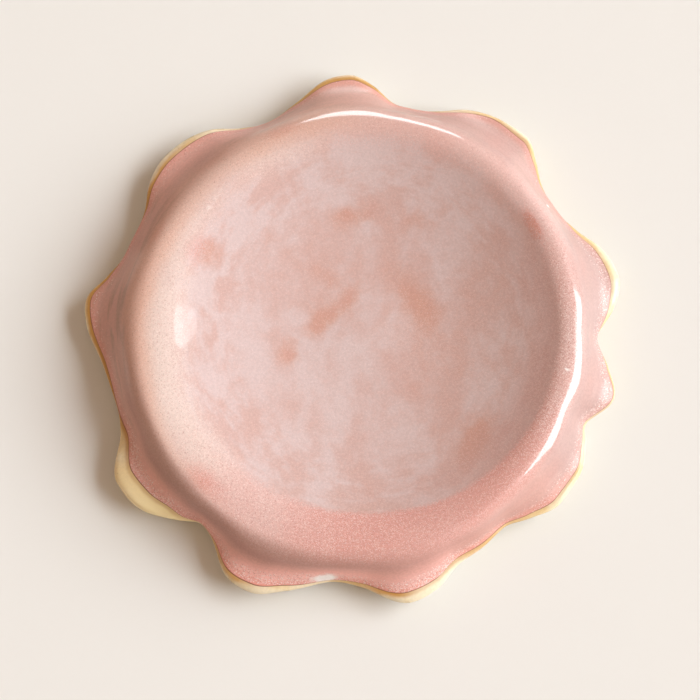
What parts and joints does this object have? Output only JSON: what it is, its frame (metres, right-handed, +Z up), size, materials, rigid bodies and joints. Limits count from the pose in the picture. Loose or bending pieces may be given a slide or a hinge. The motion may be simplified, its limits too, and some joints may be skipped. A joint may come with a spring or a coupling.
{
  "type": "serving plate",
  "caption": "Round handmade stoneware serving plate with a dished well, a rolled ridge and a wavy lobed edge, glazed pink on top and pale yellow on the lip and underside.",
  "frame": {"origin": "on the table, under the middle of the outline's box", "axes": "+Z up, out of the well; +X to the right and +Y away from a viewer who sees the plate as pictured"},
  "size_m": [0.2684, 0.269, 0.0314],
  "materials": {
    "stoneware": "bare fired stoneware, matt, with fine iron specks",
    "pink_glaze": "glossy mottled pink glaze that breaks to salmon and cream on the ridge",
    "yellow_glaze": "glossy pale yellow glaze"
  },
  "bodies": {
    "root": {"clay_body": "stoneware", "foot_ring": "stoneware", "pink_top_glaze": "pink_glaze", "yellow_edge_glaze": "yellow_glaze", "yellow_base_glaze": "yellow_glaze"}
  },
  "joints": []
}
